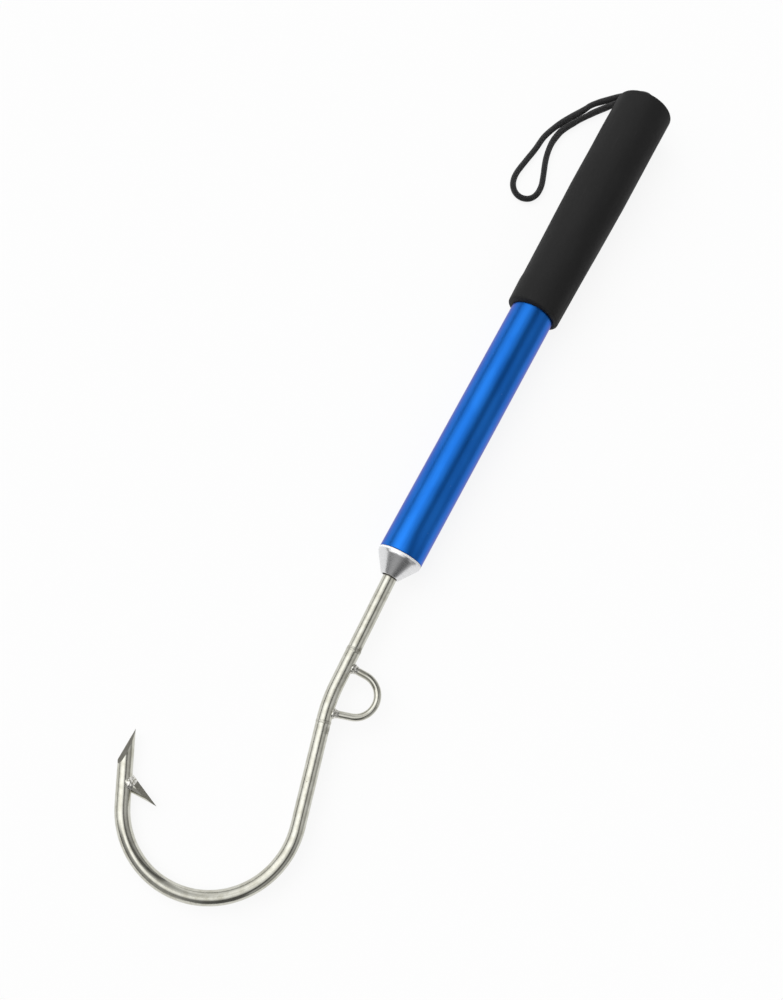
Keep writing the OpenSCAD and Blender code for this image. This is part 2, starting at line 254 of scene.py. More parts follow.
class Shader:
    """One node material on a Principled shader, with short calls for its nodes."""

    def __init__(self, name, **values):
        self.material = bpy.data.materials.new(name)
        self.material.use_nodes = True
        self.tree = self.material.node_tree
        self.tree.nodes.clear()
        out = self.tree.nodes.new("ShaderNodeOutputMaterial")
        self.bsdf = self.tree.nodes.new("ShaderNodeBsdfPrincipled")
        self.tree.links.new(self.bsdf.outputs[0], out.inputs["Surface"])
        for key, value in values.items():
            self.bsdf.inputs[key.replace("_", " ")].default_value = value

    def put(self, socket, value):
        put(self.tree, socket, value)

    def set(self, name, value):
        self.put(self.bsdf.inputs[name], value)

    def place(self, scale=(1, 1, 1), uv=False):
        """Place in the gaff's frame, or the piece's own uv, times a scale."""
        coords = self.tree.nodes.new("ShaderNodeTexCoord")
        node = self.tree.nodes.new("ShaderNodeMapping")
        node.inputs["Scale"].default_value = scale
        self.tree.links.new(coords.outputs["UV" if uv else "Object"], node.inputs["Vector"])
        return node.outputs[0]

    def noise(self, vector, scale, detail=3.0, rough=0.5):
        node = self.tree.nodes.new("ShaderNodeTexNoise")
        self.put(node.inputs["Vector"], vector)
        node.inputs["Scale"].default_value = scale
        node.inputs["Detail"].default_value = detail
        node.inputs["Roughness"].default_value = rough
        return node.outputs["Fac"]

    def cells(self, vector, scale, output="Distance"):
        node = self.tree.nodes.new("ShaderNodeTexVoronoi")
        self.put(node.inputs["Vector"], vector)
        node.inputs["Scale"].default_value = scale
        return node.outputs[output]

    def math(self, operation, *values):
        return math_node(self.tree, operation, *values)

    def span(self, value, low, high, to_low=0.0, to_high=1.0):
        """The value's range from low to high, turned softly into another range."""
        node = self.tree.nodes.new("ShaderNodeMapRange")
        node.interpolation_type = "SMOOTHSTEP"
        for key, number in (("Value", value), ("From Min", low), ("From Max", high),
                            ("To Min", to_low), ("To Max", to_high)):
            self.put(node.inputs[key], number)
        return node.outputs[0]

    def mix(self, share, a, b):
        node = self.tree.nodes.new("ShaderNodeMix")
        node.data_type = "RGBA"
        self.put(node.inputs["Factor"], share)
        self.put(node.inputs[6], a)
        self.put(node.inputs[7], b)
        return node.outputs[2]

    def axis(self, vector, name):
        node = self.tree.nodes.new("ShaderNodeSeparateXYZ")
        self.put(node.inputs[0], vector)
        return node.outputs[name]

    def near(self, point, radius):
        """1 at a point of the gaff and 0 from the radius on, with a ragged edge."""
        vector = self.place()
        node = self.tree.nodes.new("ShaderNodeVectorMath")
        node.operation = "DISTANCE"
        self.put(node.inputs[0], vector)
        node.inputs[1].default_value = point
        ragged = self.math("MULTIPLY", self.noise(vector, 900, 4), radius)
        distance = self.math("ADD", node.outputs["Value"], ragged)
        return self.span(distance, radius * 0.6, radius * 1.3, 1, 0)

    def bump(self, height, distance, strength=1.0, below=None):
        node = self.tree.nodes.new("ShaderNodeBump")
        node.inputs["Strength"].default_value = strength
        node.inputs["Distance"].default_value = distance
        self.put(node.inputs["Height"], height)
        self.put(node.inputs["Normal"], below)
        return node.outputs[0]


def rgb(r, g, b):
    return (r, g, b, 1.0)


# Dark patches on the steel, and painted shade beside the barb's root: a place in metres, and how far it
# reaches
NECK_WELD_PATCH = ((0.4058, 0.0096, 0.0016), 4.6 * MM)
SHANK_WELD_PATCH = ((0.3612, 0.0050, 0.0026), 3.2 * MM)
BARB_ROOT_SHADE = ((0.4772, -0.0640, 0.0005), 4.6 * MM)


def steel_material(name, scuffed=0.0):
    """Hand-polished wire: marks along it, soft mottling, a few pits, dark patches by the two seams, and
    painted shade beside the barb's root and where the rod goes into the cone.
    """
    sh = Shader(name, Metallic=1.0)
    lines = sh.noise(sh.place((55, 5200, 1), uv=True), 1.0, 4, 0.6)
    broad = sh.noise(sh.place((18, 900, 1), uv=True), 1.0, 3)
    patches = sh.noise(sh.place(), 240, 4, 0.6)
    pits = sh.cells(sh.place(), 330)
    rare = sh.axis(sh.cells(sh.place(), 330, "Color"), "X")
    pit = sh.math("MULTIPLY", sh.span(pits, 0.05, 0.12, 1, 0), sh.span(rare, 0.86, 0.9))
    tone = sh.mix(sh.span(patches, 0.35, 0.7), rgb(0.62, 0.615, 0.55), rgb(0.5, 0.49, 0.42))
    tone = sh.mix(sh.span(lines, 0.55, 0.8, 0, 0.5), tone, rgb(0.38, 0.37, 0.31))
    scuffs = sh.noise(sh.place(), 1500, 4, 0.7)
    tone = sh.mix(sh.span(scuffs, 0.4, 0.62, 0, scuffed), tone, rgb(0.2, 0.19, 0.15))
    seam = sh.math("MAXIMUM", sh.near(*NECK_WELD_PATCH), sh.near(*SHANK_WELD_PATCH))
    # Painted shade on the hook's wire beside the barb's root
    root = sh.near(*BARB_ROOT_SHADE)
    tone = sh.mix(sh.math("MULTIPLY", seam, 0.75), tone, rgb(0.17, 0.16, 0.12))
    tone = sh.mix(sh.math("MULTIPLY", root, 0.7), tone, rgb(0.15, 0.14, 0.11))
    tone = sh.mix(pit, tone, rgb(0.09, 0.085, 0.07))
    # Painted shade: a dark ring on the rod where it goes into the cone's nose
    along = sh.axis(sh.place(), "X")
    nose_gap_shade = sh.math("MULTIPLY", sh.span(along, NOSE_X - 1 * MM, NOSE_X - 0.5 * MM),
                    sh.span(along, NOSE_X + 0.3 * MM, NOSE_X + 0.9 * MM, 1, 0))
    tone = sh.mix(sh.math("MULTIPLY", nose_gap_shade, 0.9), tone, rgb(0.04, 0.035, 0.03))
    sh.set("Base Color", tone)
    rough = sh.math("ADD", sh.span(lines, 0.3, 0.8, 0.1, 0.18), sh.span(broad, 0.4, 0.7, 0, 0.07))
    rough = sh.math("ADD", rough, 0.3 * scuffed)
    sh.set("Roughness", sh.math("ADD", rough, sh.math("MULTIPLY", seam, 0.16)))
    wavy = sh.bump(sh.noise(sh.place((12, 260, 1), uv=True), 1.0, 2), 0.035 * MM)
    sh.set("Normal", sh.bump(lines, 0.004 * MM, 1.0, wavy))
    return sh.material


def ground_material():
    """Ground ends of the wire: grinding lines across the bevel, in a dark tone that is a painted
    reflection of the room's dark side.
    """
    sh = Shader("ground_steel_painted_dark", Metallic=1.0)
    lines = sh.noise(sh.place((300, 4200, 900)), 1.0, 3, 0.6)
    # Both tones dark: painted reflection of the dark side of the room
    tone = sh.mix(sh.span(lines, 0.35, 0.7), rgb(0.21, 0.205, 0.175), rgb(0.12, 0.115, 0.095))
    sh.set("Base Color", tone)
    sh.set("Roughness", sh.span(lines, 0.3, 0.7, 0.3, 0.42))
    sh.set("Normal", sh.bump(lines, 0.01 * MM))
    return sh.material


def bead_material():
    """Bright weld metal with ripples and sooty hollows."""
    sh = Shader("weld_bead", Metallic=1.0)
    lumps = sh.noise(sh.place(), 700, 4, 0.6)
    grain = sh.noise(sh.place(), 2600, 3, 0.6)
    tone = sh.mix(sh.span(lumps, 0.36, 0.5), rgb(0.3, 0.29, 0.24), rgb(0.76, 0.75, 0.7))
    sh.set("Base Color", sh.mix(sh.span(grain, 0.62, 0.7), tone, rgb(0.2, 0.19, 0.16)))
    sh.set("Roughness", sh.span(lumps, 0.3, 0.7, 0.16, 0.3))
    sh.set("Normal", sh.bump(grain, 0.05 * MM, 1.0, sh.bump(lumps, 0.22 * MM)))
    return sh.material


def blue_material():
    """Anodised tube: draw lines along it, slight cloudiness and dust-sized specks."""
    sh = Shader("blue_anodised", Metallic=1.0, Specular_Tint=rgb(0.85, 0.65, 0.75), Coat_Weight=0.1,
                Coat_Roughness=0.3)
    lines = sh.noise(sh.place((14, 1500, 1500)), 1.0, 4, 0.6)
    cloud = sh.noise(sh.place((40, 90, 90)), 1.0, 3)
    spots = sh.cells(sh.place(), 420)
    rare = sh.axis(sh.cells(sh.place(), 420, "Color"), "X")
    speck = sh.math("MULTIPLY", sh.span(spots, 0.06, 0.14, 1, 0), sh.span(rare, 0.9, 0.93))
    tone = sh.mix(sh.span(cloud, 0.35, 0.65), rgb(0.010, 0.148, 0.6), rgb(0.013, 0.168, 0.65))
    tone = sh.mix(sh.span(lines, 0.55, 0.8, 0, 0.4), tone, rgb(0.007, 0.105, 0.48))
    sh.set("Base Color", sh.mix(sh.math("MULTIPLY", speck, 0.6), tone, rgb(0.12, 0.3, 0.75)))
    sh.set("Roughness", sh.span(lines, 0.3, 0.75, 0.28, 0.36))
    sh.set("Normal", sh.bump(lines, 0.006 * MM))
    return sh.material


def aluminium_material():
    """Bright turned metal: fine rings round the shaft, a few handling marks, and a whiter, rougher, less
    metallic band at the rim.
    """
    sh = Shader("bare_aluminium", Metallic=1.0)
    rings = sh.noise(sh.place((5200, 12, 12)), 1.0, 3, 0.6)
    marks = sh.noise(sh.place((260, 900, 900)), 1.0, 3, 0.6)
    rim = sh.span(sh.axis(sh.place(), "X"), RIM_X, RIM_X + 0.5 * MM, 1, 0)
    tone = sh.mix(sh.span(rings, 0.3, 0.7), rgb(0.8, 0.8, 0.81), rgb(0.7, 0.7, 0.71))
    tone = sh.mix(sh.span(marks, 0.62, 0.75, 0, 0.6), tone, rgb(0.55, 0.55, 0.55))
    sh.set("Base Color", sh.mix(rim, tone, rgb(0.95, 0.95, 0.95)))
    sh.set("Metallic", sh.math("SUBTRACT", 1.0, sh.math("MULTIPLY", rim, 0.7)))
    rough = sh.span(rings, 0.3, 0.7, 0.2, 0.32)
    sh.set("Roughness", sh.math("ADD", rough, sh.math("MULTIPLY", rim, 0.3)))
    sh.set("Normal", sh.bump(rings, 0.008 * MM))
    return sh.material


def foam_material():
    """Closed-cell foam with a matt, finely pitted skin and soft handling marks."""
    sh = Shader("foam", Specular_IOR_Level=0.28)
    pores = sh.cells(sh.place(), 2600)
    fine = sh.noise(sh.place(), 5200, 3, 0.7)
    worn = sh.noise(sh.place((30, 120, 120)), 1.0, 4, 0.6)
    rubbed = sh.noise(sh.place((60, 600, 600)), 1.0, 4, 0.6)
    tone = sh.mix(sh.span(worn, 0.35, 0.7), rgb(0.009, 0.009, 0.0091), rgb(0.0135, 0.0135, 0.0136))
    tone = sh.mix(sh.span(fine, 0.55, 0.75, 0, 0.7), tone, rgb(0.022, 0.022, 0.0222))
    tone = sh.mix(sh.span(rubbed, 0.62, 0.8, 0, 0.4), tone, rgb(0.026, 0.026, 0.0262))
    sh.set("Base Color", sh.mix(sh.span(pores, 0.1, 0.3, 0.6, 0), tone, rgb(0.004, 0.004, 0.004)))
    sh.set("Roughness", sh.span(worn, 0.3, 0.7, 0.62, 0.78))
    sh.set("Normal", sh.bump(pores, 0.05 * MM, 0.5, sh.bump(fine, 0.05 * MM, 0.6)))
    return sh.material


YARN_PITCH = 1.35 * MM
YARNS_ROUND = 8


def cord_material():
    """Black braid: two families of yarn crossing round the cord, with painted shade in the hollows between
    yarns, and stray fuzz.
    """
    sh = Shader("cord", Specular_IOR_Level=0.3, Sheen_Weight=0.25, Sheen_Roughness=0.4)
    uv = sh.place(uv=True)
    along = sh.math("MULTIPLY", sh.axis(uv, "X"), 2 * math.pi / YARN_PITCH)
    round_it = sh.math("MULTIPLY", sh.axis(uv, "Y"), YARNS_ROUND / CORD_R)
    left = sh.math("SINE", sh.math("ADD", along, round_it))
    right = sh.math("SINE", sh.math("SUBTRACT", along, round_it))
    height = sh.math("MAXIMUM", left, right)
    fibre = sh.noise(sh.place((9000, 3000, 1), uv=True), 1.0, 3, 0.7)
    # Painted shade: darker where the braid dips between yarns
    tone = sh.mix(sh.span(height, -0.2, 0.9), rgb(0.006, 0.006, 0.006), rgb(0.026, 0.026, 0.027))
    sh.set("Base Color", sh.mix(sh.span(fibre, 0.55, 0.75, 0, 0.6), tone, rgb(0.05, 0.05, 0.05)))
    sh.set("Roughness", sh.span(fibre, 0.3, 0.7, 0.6, 0.8))
    sh.set("Normal", sh.bump(fibre, 0.03 * MM, 0.6, sh.bump(height, 0.16 * MM)))
    return sh.material


def plain_material(name, dark, light, rough, metallic=0.0, scale=600, depth=0.02):
    """Small hidden parts: two close tones and a fine moulded or turned surface."""
    sh = Shader(name, Metallic=metallic)
    grain = sh.noise(sh.place(), scale, 4, 0.6)
    sh.set("Base Color", sh.mix(sh.span(grain, 0.35, 0.65), rgb(*dark), rgb(*light)))
    sh.set("Roughness", sh.span(grain, 0.3, 0.7, rough - 0.05, rough + 0.05))
    sh.set("Normal", sh.bump(grain, depth * MM))
    return sh.material


STEEL = steel_material("steel")
GROUND = ground_material()
SEAM = steel_material("weld_seam", 0.45)
BEAD = bead_material()
BLUE = blue_material()
ALUMINIUM = aluminium_material()
FOAM = foam_material()
CORD = cord_material()


# Wrist cord and its stopper knot

# Where each strand lies against the other, in mm from its end in the plug: starting, full, fading, over
TOUCHING = ((42, 50, 60, 64), (70, 74, 88, 98))

cord_line = resample(spline([Vector(p) * MM for p in CORD_ROUTE], 12), 0.6 * MM)
cord_length = arc_lengths(cord_line)[-1]


def cord_radius(s, angle):
    """A little thicker where both strands lie against each other."""
    wobble = noise.noise(Vector((s * 160, math.cos(angle), math.sin(angle))))
    near_butt = min(s, cord_length - s)
    together = 0
    for starting, full, fading, over in TOUCHING:
        together += (smooth(near_butt, starting * MM, full * MM)
                     * (1 - smooth(near_butt, fading * MM, over * MM)))
    return CORD_R * (1.04 + 0.02 * wobble + 0.12 * together)


cord_piece = mesh_piece("wrist_cord_braid", tube_mesh(cord_line, 24, cord_radius), CORD, 60)
finish_piece(cord_piece, "wrist_cord")

KNOT_CENTRE = Vector((KNOT_X + 5.5, 0, 0)) * MM
KNOT_SIZE = 1.5 * MM
KNOT_DEPTH = 3.6 * MM


def knot_line():
    """Overhand knot, as three lobes round the shaft behind the plug's wall."""
    points = []
    for k in range(181):
        t = 2 * math.pi * k / 180
        lobe = Vector((0, math.sin(t) + 2 * math.sin(2 * t), math.cos(t) - 2 * math.cos(2 * t)))
        points.append(KNOT_CENTRE + lobe * KNOT_SIZE + Vector((-KNOT_DEPTH * math.sin(3 * t), 0, 0)))
    return points


knot_piece = mesh_piece("stopper_knot", tube_mesh(knot_line(), 20, even(CORD_R)), CORD, 60)
finish_piece(knot_piece, "cord_knot")


# Turned pieces

def turned(name, profile, material, segments=192, push=None, sharp=30):
    """Body turned about the shaft from a closed profile of (x, r) in metres."""
    bm = bmesh.new()
    rings = []
    for x, r in profile:
        ring = []
        for k in range(segments):
            angle = 2 * math.pi * k / segments
            px, pr = push(x, r, angle) if push else (x, r)
            ring.append(bm.verts.new((px, pr * math.cos(angle), pr * math.sin(angle))))
        rings.append(ring)
    for i in range(len(rings)):
        a, b = rings[i], rings[(i + 1) % len(rings)]
        for k in range(segments):
            n = (k + 1) % segments
            bm.faces.new((a[k], a[n], b[n], b[k]))
    return mesh_piece(name, bm, material, sharp)


def line_between(a, b, step):
    """Points from a to b, without b."""
    along, out = b[0] - a[0], b[1] - a[1]
    count = max(1, math.ceil(math.hypot(along, out) / step))
    return [(a[0] + along * k / count, a[1] + out * k / count) for k in range(count)]


def corner(centre, radius, start, stop, steps):
    """Round corner of a profile, angles in degrees from the shaft's direction."""
    result = []
    for k in range(steps + 1):
        a = math.radians(start + (stop - start) * k / steps)
        result.append((centre[0] + radius[0] * math.cos(a), centre[1] + radius[1] * math.sin(a)))
    return result


def in_mm(profile):
    return [(x * MM, r * MM) for x, r in profile]


# Grip, in mm
BUTT_ROUND = 1.5
LIP_LEN = 1.6
LIP_X = MOUTH_X / MM - LIP_LEN
LIP_R = 15.4
STRAIGHT_X = 65
BORE_R = 12.6
END_WALL = 5
GRIP_STEP = 0.8
SWELL = 0.35
SWELL_FROM, SWELL_TO = 128, 133
MOUTH_SLANT = 0.5
SLANT_FROM = 135
SKIN_WAVES = 0.12
SKIN_GRAIN = 0.035


def grip_push(x, r, angle):
    """The skin's slight unevenness, the swell at the mouth on the hook's side, and the mouth's slant."""
    in_bore = r < (BORE_R + 0.6) * MM and x > (END_WALL + 1) * MM
    if in_bore:
        return x, r
    side = max(-math.cos(angle), 0)
    swell = SWELL * MM * side * smooth(x, SWELL_FROM * MM, SWELL_TO * MM)
    x += MOUTH_SLANT * MM * math.cos(angle) * smooth(x, SLANT_FROM * MM, MOUTH_X)
    waves = Vector((x * 45, 1.5 * math.cos(angle), 1.5 * math.sin(angle)))
    grain = Vector((x * 700, 9 * math.cos(angle), 9 * math.sin(angle)))
    uneven = SKIN_WAVES * MM * noise.noise(waves) + SKIN_GRAIN * MM * noise.noise(grain)
    return x + 0.3 * uneven, r + swell + uneven


def grip_profile():
    hole = CORD_HOLE_R / MM
    grip = GRIP_R / MM
    face_r = grip - BUTT_ROUND
    profile = line_between((0, hole), (0, face_r), GRIP_STEP)
    profile += corner((BUTT_ROUND, face_r), (BUTT_ROUND, BUTT_ROUND), 180, 90, 10)[:-1]
    profile += line_between((BUTT_ROUND, grip), (STRAIGHT_X, grip), GRIP_STEP)
    profile += line_between((STRAIGHT_X, grip), (LIP_X, LIP_R), GRIP_STEP)
    profile += corner((LIP_X, BORE_R + 0.1), (LIP_LEN, LIP_R - BORE_R - 0.1), 90, 0, 10)
    profile += [(MOUTH_X / MM, BORE_R), (END_WALL, BORE_R), (END_WALL, hole)]
    return in_mm(profile)


grip = turned("foam_sleeve", grip_profile(), FOAM, push=grip_push, sharp=50)
finish_piece(grip, "foam_grip")


# Tube and cone, in mm
TUBE_EDGE = 0.35
TUBE_GAP = 0.15
CONE_LEN = 10.6
NOSE_R = 5.15
SPIGOT_IN = 1.55
SPIGOT_CHAMFER = 0.3
SPIGOT_LAND = 13 / 3
GROOVE_W = 3
GROOVE_DEPTH = 0.5
TAIL_HOLE_R = 3.2
ROD_HOLE_R = 4.344
ROD_SEAT_X = 300
RIM_EDGE = 0.28
SHOULDER_R = 3.6


def tube_profile():
    lo, hi, r = tube_lo.x / MM, tube_hi.x / MM - TUBE_GAP, TUBE_R / MM
    bore = r - TUBE_WALL / MM
    edge = TUBE_EDGE
    profile = [(lo, bore)] + corner((lo + edge, r - edge), (edge, edge), 180, 90, 4)[:-1]
    profile += line_between((lo + edge, r), (hi - edge, r), 12)
    profile += corner((hi - edge, r - edge), (edge, edge), 90, 0, 4)
    return in_mm(profile + [(hi, bore)])


tube = turned("blue_tube", tube_profile(), BLUE, segments=256)
finish_piece(tube, "handle_tube")


def cone_profile():
    rear, front = cone_lo.x / MM, cone_hi.x / MM
    rim, tube_end, rim_end = TUBE_R / MM, tube_hi.x / MM, front - CONE_LEN
    spigot, edge = rim - SPIGOT_IN, RIM_EDGE
    profile = [(rear, TAIL_HOLE_R), (rear, spigot - SPIGOT_CHAMFER), (rear + SPIGOT_CHAMFER, spigot)]
    for x in (rear + SPIGOT_LAND, rear + 2 * SPIGOT_LAND + GROOVE_W):
        profile += [(x, spigot), (x, spigot - GROOVE_DEPTH),
                    (x + GROOVE_W, spigot - GROOVE_DEPTH), (x + GROOVE_W, spigot)]
    profile += [(tube_end, spigot)] + corner((tube_end + edge, rim - edge), (edge, edge), 180, 90, 4)
    profile += corner((rim_end - 1.1, rim - SHOULDER_R), (SHOULDER_R, SHOULDER_R), 90, 55.3, 12)
    profile += line_between((rim_end + 0.95, rim - 0.64), (front - 0.35, NOSE_R + 0.28), 1)[1:]
    profile += corner((front - 0.4, NOSE_R - 0.1), (0.4, 0.38), 52, 0, 4)
    profile += [(front, ROD_HOLE_R + 0.15), (front - 0.15, ROD_HOLE_R), (ROD_SEAT_X, ROD_HOLE_R)]
    return in_mm(profile + [(ROD_SEAT_X, TAIL_HOLE_R)])


cone = turned("turned_cone", cone_profile(), ALUMINIUM, segments=256, sharp=24)
finish_piece(cone, "nose_cone")


# Wire pieces, from the same runs and bends as the solids

def walk(place, *moves):
    """Line in the hook's plane from (x, y, heading) in mm and degrees, and the place where it ends.
    A move is a straight length, or a bend's radius and turn."""
    x, y, heading = place
    points = [Vector((x, y, 0)) * MM]
    for move in moves:
        if isinstance(move, tuple):
            radius, turn = move
            steps = max(2, math.ceil(abs(turn) / 2))
            k = 1 if turn > 0 else -1
            for i in range(1, steps + 1):
                a, b = math.radians(heading), math.radians(heading + turn * i / steps)
                points.append(Vector((x + k * radius * (math.sin(b) - math.sin(a)),
                                      y - k * radius * (math.cos(b) - math.cos(a)), 0)) * MM)
            a, b = math.radians(heading), math.radians(heading + turn)
            x += k * radius * (math.sin(b) - math.sin(a))
            y -= k * radius * (math.cos(b) - math.cos(a))
            heading += turn
        else:
            steps = max(1, math.ceil(move / 1.5))
            ux, uy = math.cos(math.radians(heading)), math.sin(math.radians(heading))
            points += [Vector((x + ux * move * i / steps, y + uy * move * i / steps, 0)) * MM
                       for i in range(1, steps + 1)]
            x += ux * move
            y += uy * move
    return points, (x, y, heading)


def set_at(place):
    """The way from a wire's own frame to the gaff's, at a place that walk gives."""
    return Matrix.Translation(Vector((place[0], place[1], 0)) * MM) @ Matrix.Rotation(
        math.radians(place[2]), 4, "Z")


def grind(bm, place, length, radius, angle):
    """Grinds the wire's left side to a straight ridge that ends in the tip at that length.
    The two ground faces, sloping by ROOF, are the second material."""
    turn = set_at(place)
    at = turn @ Vector((length * MM, -radius * MM, 0))
    a, b = math.radians(angle), math.radians(ROOF)
    for side in (-1, 1):
        slope = Vector((math.sin(a) * math.cos(b), math.cos(a) * math.cos(b), side * math.sin(b)))
        geometry = bm.verts[:] + bm.edges[:] + bm.faces[:]
        cut = bmesh.ops.bisect_plane(bm, geom=geometry, dist=1e-7, plane_co=at,
                                     plane_no=turn.to_3x3() @ slope, clear_outer=True)
        edges = [e for e in cut["geom_cut"] if isinstance(e, bmesh.types.BMEdge)]
        for face in bmesh.ops.contextual_create(bm, geom=edges)["faces"]:
            face.material_index = 1


# Runs in mm, bends as (radius, turn in degrees), and the slopes of the ground faces in degrees.
# A blank is the wire before it is ground.
SHANK_START = (ROD_SEAT_X, 0, 0)
SHANK_RUNS = (6, (100, 2.15), 51.5)
SHANK_SEAM_LEN = 2.4
NECK_RUNS = (19, (85, 12.85), 0.4)
NECK_SEAM_LEN = 1.6
HOOK_RUNS = (53.5, (44.8, -168.4))
POINT_BLANK, POINT_LEN, POINT_RIDGE = 44.8, 37.6, 27
BARB_PLACE, BARB_LEAN = 11.8, 116.1
BARB_BLANK, BARB_LEN, BARB_RIDGE = 28, 20.8, 24.2
ROOF = 34.5
TAIL_LEN = SHANK_START[0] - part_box("shank_rod")[0].x / MM
TAIL_STEP = 0.2
THREAD_R = 3 * MM
THREAD_DEPTH = 0.45 * MM
WIRE = WIRE_R / MM

shank_line, shank_stop = walk(SHANK_START, *SHANK_RUNS)
seam_line, neck_start = walk(shank_stop, SHANK_SEAM_LEN)
neck_line, neck_stop = walk(neck_start, *NECK_RUNS)
neck_seam_line, hook_start = walk(neck_stop, NECK_SEAM_LEN)
_, point_start = walk(hook_start, *HOOK_RUNS)
hook_line, _ = walk(hook_start, *HOOK_RUNS, POINT_BLANK)
barb_x, barb_y, point_heading = walk(point_start, BARB_PLACE)[1]
barb_start = (barb_x, barb_y, point_heading - BARB_LEAN)


# Shank

def shank_radius(s, angle):
    """Threaded tail with a pitch of 1 mm, then the plain rod."""
    if s < (TAIL_LEN - 0.01) * MM:
        groove = abs(((s / MM + angle / (2 * math.pi)) % 1) * 2 - 1)
        return THREAD_R - THREAD_DEPTH * groove
    return SHANK_R


tail_points = [Vector((SHANK_START[0] - TAIL_LEN, 0, 0)) * MM + Vector((TAIL_STEP * k * MM, 0, 0))
               for k in range(int(TAIL_LEN / TAIL_STEP))]
shoulder = [Vector((SHANK_START[0] - 0.02, 0, 0)) * MM]
shank_bm = tube_mesh(tail_points + shoulder + shank_line, 64, shank_radius)
finish_piece(mesh_piece("shank_bar", shank_bm, STEEL), "shank_rod")

# Neck
neck_bm = tube_mesh(neck_line, 64, even(WIRE_R))
finish_piece(mesh_piece("neck_wire", neck_bm, STEEL), "hook_neck")

# Hook, with its ground point
hook_bm = tube_mesh(hook_line, 64, even(WIRE_R))
grind(hook_bm, point_start, POINT_LEN, WIRE, POINT_RIDGE)
hook = mesh_piece("hook_wire", hook_bm, STEEL, 20)
hook.data.materials.append(GROUND)
finish_piece(hook, "hook_bend")

# Barb, ground to its point in the same way
barb_bm = tube_mesh(walk(barb_start, BARB_BLANK)[0], 56, even(BARB_R))
grind(barb_bm, barb_start, BARB_LEN, BARB_R / MM, BARB_RIDGE)
barb = mesh_piece("barb_wire", barb_bm, STEEL, 20)
barb.data.materials.append(GROUND)
finish_piece(barb, "barb")


# Line ring, from just inside the hook's wire out, round the bow and back into it

RING_PLACE = 7.5
RING_REACH = 11.7
RING_BOW = (11.5, -163)
SINK = 0.4

foot_x, foot_y, _ = walk(neck_start, RING_PLACE)[1]
_, front_skin = walk((foot_x, foot_y, 90), WIRE)
_, front_foot = walk((foot_x, foot_y, 90), WIRE - SINK)
ring_runs = (RING_REACH - WIRE + SINK, RING_BOW)
_, bow_stop = walk(front_foot, *ring_runs)
rear_leg = 0.0
while True:
    tip = walk(bow_stop, rear_leg + 0.1)[0][-1]
    if min((tip - p).length for p in neck_line) < WIRE_R - SINK * MM:
        break
    rear_leg += 0.1
ring_line, rear_end = walk(front_foot, *ring_runs, rear_leg)
ring_bm = tube_mesh(resample(ring_line, 0.5 * MM), 40, even(RING_R))
finish_piece(mesh_piece("ring_wire", ring_bm, STEEL), "line_ring")


# Welds

def seam_piece(name, node, line, r0, r1, crown, lumps):
    """Ground seam from one radius to the other, with a low crown and lumps of that height."""
    total = arc_lengths(line)[-1]

    def radius(s, angle):
        t = s / total
        base = r0 + (r1 - r0) * t
        swell = crown * math.sin(math.pi * min(max(t, 0), 1)) ** 0.6
        place = Vector((s * 1500, 3 * math.cos(angle), 3 * math.sin(angle)))
        return base + swell + lumps * noise.noise(place) * math.sin(math.pi * t)

    piece = mesh_piece(name, tube_mesh(resample(line, 0.12 * MM), 72, radius), SEAM, 60)
    finish_piece(piece, node)


seam_piece("rod_seam", "shank_weld", seam_line, SHANK_R, WIRE_R, crown=0.12 * MM, lumps=0.09 * MM)
seam_piece("neck_seam", "neck_weld", neck_seam_line, WIRE_R, WIRE_R, crown=0.09 * MM, lumps=0.06 * MM)


def bead_piece(name, node, place, shape, pitch, seed, limit=None):
    """Weld bead round a leg. shape is (height, radius) in mm from below the wire's skin up the leg.
    limit(height, angle) is the radius in mm that it may not pass."""
    x, y, heading = place
    ux, uy = math.cos(math.radians(heading)), math.sin(math.radians(heading))
    low, high = shape[0][0], shape[-1][0]
    line = [Vector((x + ux * h, y + uy * h, 0)) * MM
            for h in (low + (high - low) * k / 40 for k in range(41))]

    def radius(s, angle):
        h = min(low + s / MM, high)
        for (h0, r0), (h1, r1) in zip(shape, shape[1:]):
            if h <= h1:
                r = r0 + (r1 - r0) * smooth(h, h0, h1)
                break
        if limit:
            r = min(r, limit(h, angle))
        fade = min(1, 2.5 * (high - h) / (high - low))
        place = Vector((s / pitch, seed + 2.2 * math.cos(angle), 2.2 * math.sin(angle)))
        fine = Vector((2.7 * s / pitch, seed + 6 * math.cos(angle), 6 * math.sin(angle)))
        return r * MM + BEAD_LUMPS * fade * (noise.noise(place) + 0.5 * noise.noise(fine))

    piece = mesh_piece(name, tube_mesh(line, 72, radius), BEAD, 60)
    finish_piece(piece, node)


BEAD_LUMPS = 0.2 * MM
RING_BEAD = ((-1.6, 2.5), (-0.5, 3.1), (0.4, 2.85), (1.3, 2.3), (3.2, 1.97))
RING_PITCH = 1.6 * MM
BARB_BEAD = ((-2.4, 4.1), (-1, 4.45), (0.3, 4.25), (1.7, 3.86))
BARB_PITCH = 1.9 * MM
BARB_FOOT = WIRE / math.sin(math.radians(BARB_LEAN))

bead_piece("front_bead", "ring_weld_front", front_skin, RING_BEAD, RING_PITCH, seed=3)
back = (rear_end[0], rear_end[1], rear_end[2] + 180)
bead_piece("rear_bead", "ring_weld_rear", walk(back, SINK)[1], RING_BEAD, RING_PITCH, seed=9)


def over_ridge(h, angle):
    """Radius of the barb's two ground faces and 0.1 mm more, at a height above the hook's wire."""
    a, b = math.radians(BARB_RIDGE), math.radians(ROOF)
    room = (BARB_LEN - BARB_FOOT - h) * math.sin(a) * math.cos(b)
    room += 0.1 - BARB_R / MM * math.cos(a) * math.cos(b)
    slope = abs(math.sin(angle)) * math.sin(b) - math.cos(angle) * math.cos(a) * math.cos(b)
    return room / slope if slope > 0.05 else 20


bead_piece("barb_bead", "barb_weld", walk(barb_start, BARB_FOOT)[1], BARB_BEAD, BARB_PITCH, seed=5,
           limit=over_ridge)


# Small parts inside, which keep their solids

